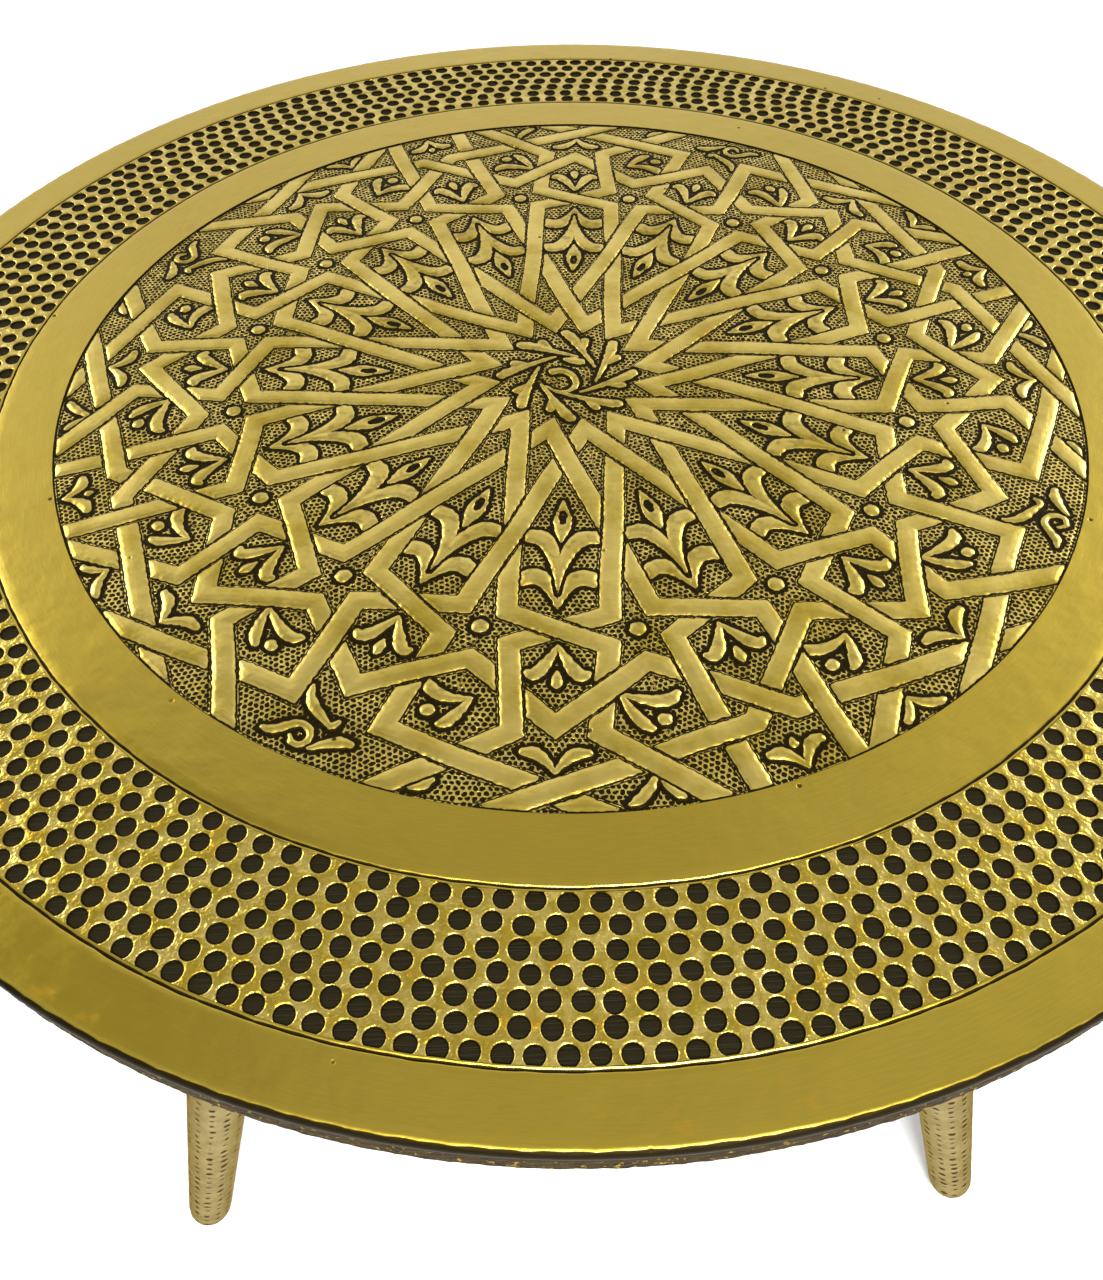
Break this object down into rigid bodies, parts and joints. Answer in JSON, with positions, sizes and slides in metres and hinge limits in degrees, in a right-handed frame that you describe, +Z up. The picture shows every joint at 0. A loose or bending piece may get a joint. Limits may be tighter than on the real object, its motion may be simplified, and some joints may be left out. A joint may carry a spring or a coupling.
{
  "type": "brass tray table",
  "caption": "Low round table with a chased and perforated brass top over a wooden disc, on splayed tapered legs clad in hammered brass.",
  "frame": {"origin": "on the floor, under the centre of the round top", "axes": "+Z up, the top's axis; the legs stand at 45 degrees between X and Y"},
  "size_m": [0.71, 0.71, 0.48],
  "materials": {
    "polished_brass": "polished sheet brass, finely brushed, with dark patina in the chased ground",
    "aged_brass": "hammered and darkened with age",
    "leg_brass": "pale hammered brass with rows of punch marks",
    "stained_board": "dark stained board",
    "turned_wood": "turned, unfinished",
    "steel_hardware": "zinc plated",
    "foot_rubber": "matt black"
  },
  "bodies": {
    "root": {"top_sheet": "polished_brass", "wood_disc": "stained_board", "edge_band": "aged_brass", "edge_tack_1": "aged_brass", "edge_tack_2": "aged_brass", "edge_tack_3": "aged_brass", "edge_tack_4": "aged_brass", "edge_tack_5": "aged_brass", "edge_tack_6": "aged_brass", "edge_tack_7": "aged_brass", "edge_tack_8": "aged_brass", "edge_tack_9": "aged_brass", "edge_tack_10": "aged_brass", "edge_tack_11": "aged_brass", "edge_tack_12": "aged_brass", "edge_tack_13": "aged_brass", "edge_tack_14": "aged_brass", "edge_tack_15": "aged_brass", "edge_tack_16": "aged_brass", "leg_plate_1": "steel_hardware", "plate_screw_1_1": "steel_hardware", "plate_screw_1_2": "steel_hardware", "plate_screw_1_3": "steel_hardware", "plate_screw_1_4": "steel_hardware", "foot_pad_1": "foot_rubber", "leg_sleeve_1": "leg_brass", "leg_core_1": "turned_wood", "leg_bolt_1": "steel_hardware", "leg_plate_2": "steel_hardware", "plate_screw_2_1": "steel_hardware", "plate_screw_2_2": "steel_hardware", "plate_screw_2_3": "steel_hardware", "plate_screw_2_4": "steel_hardware", "foot_pad_2": "foot_rubber", "leg_sleeve_2": "leg_brass", "leg_core_2": "turned_wood", "leg_bolt_2": "steel_hardware", "leg_plate_3": "steel_hardware", "plate_screw_3_1": "steel_hardware", "plate_screw_3_2": "steel_hardware", "plate_screw_3_3": "steel_hardware", "plate_screw_3_4": "steel_hardware", "foot_pad_3": "foot_rubber", "leg_sleeve_3": "leg_brass", "leg_core_3": "turned_wood", "leg_bolt_3": "steel_hardware", "leg_plate_4": "steel_hardware", "plate_screw_4_1": "steel_hardware", "plate_screw_4_2": "steel_hardware", "plate_screw_4_3": "steel_hardware", "plate_screw_4_4": "steel_hardware", "foot_pad_4": "foot_rubber", "leg_sleeve_4": "leg_brass", "leg_core_4": "turned_wood", "leg_bolt_4": "steel_hardware"}
  },
  "joints": []
}
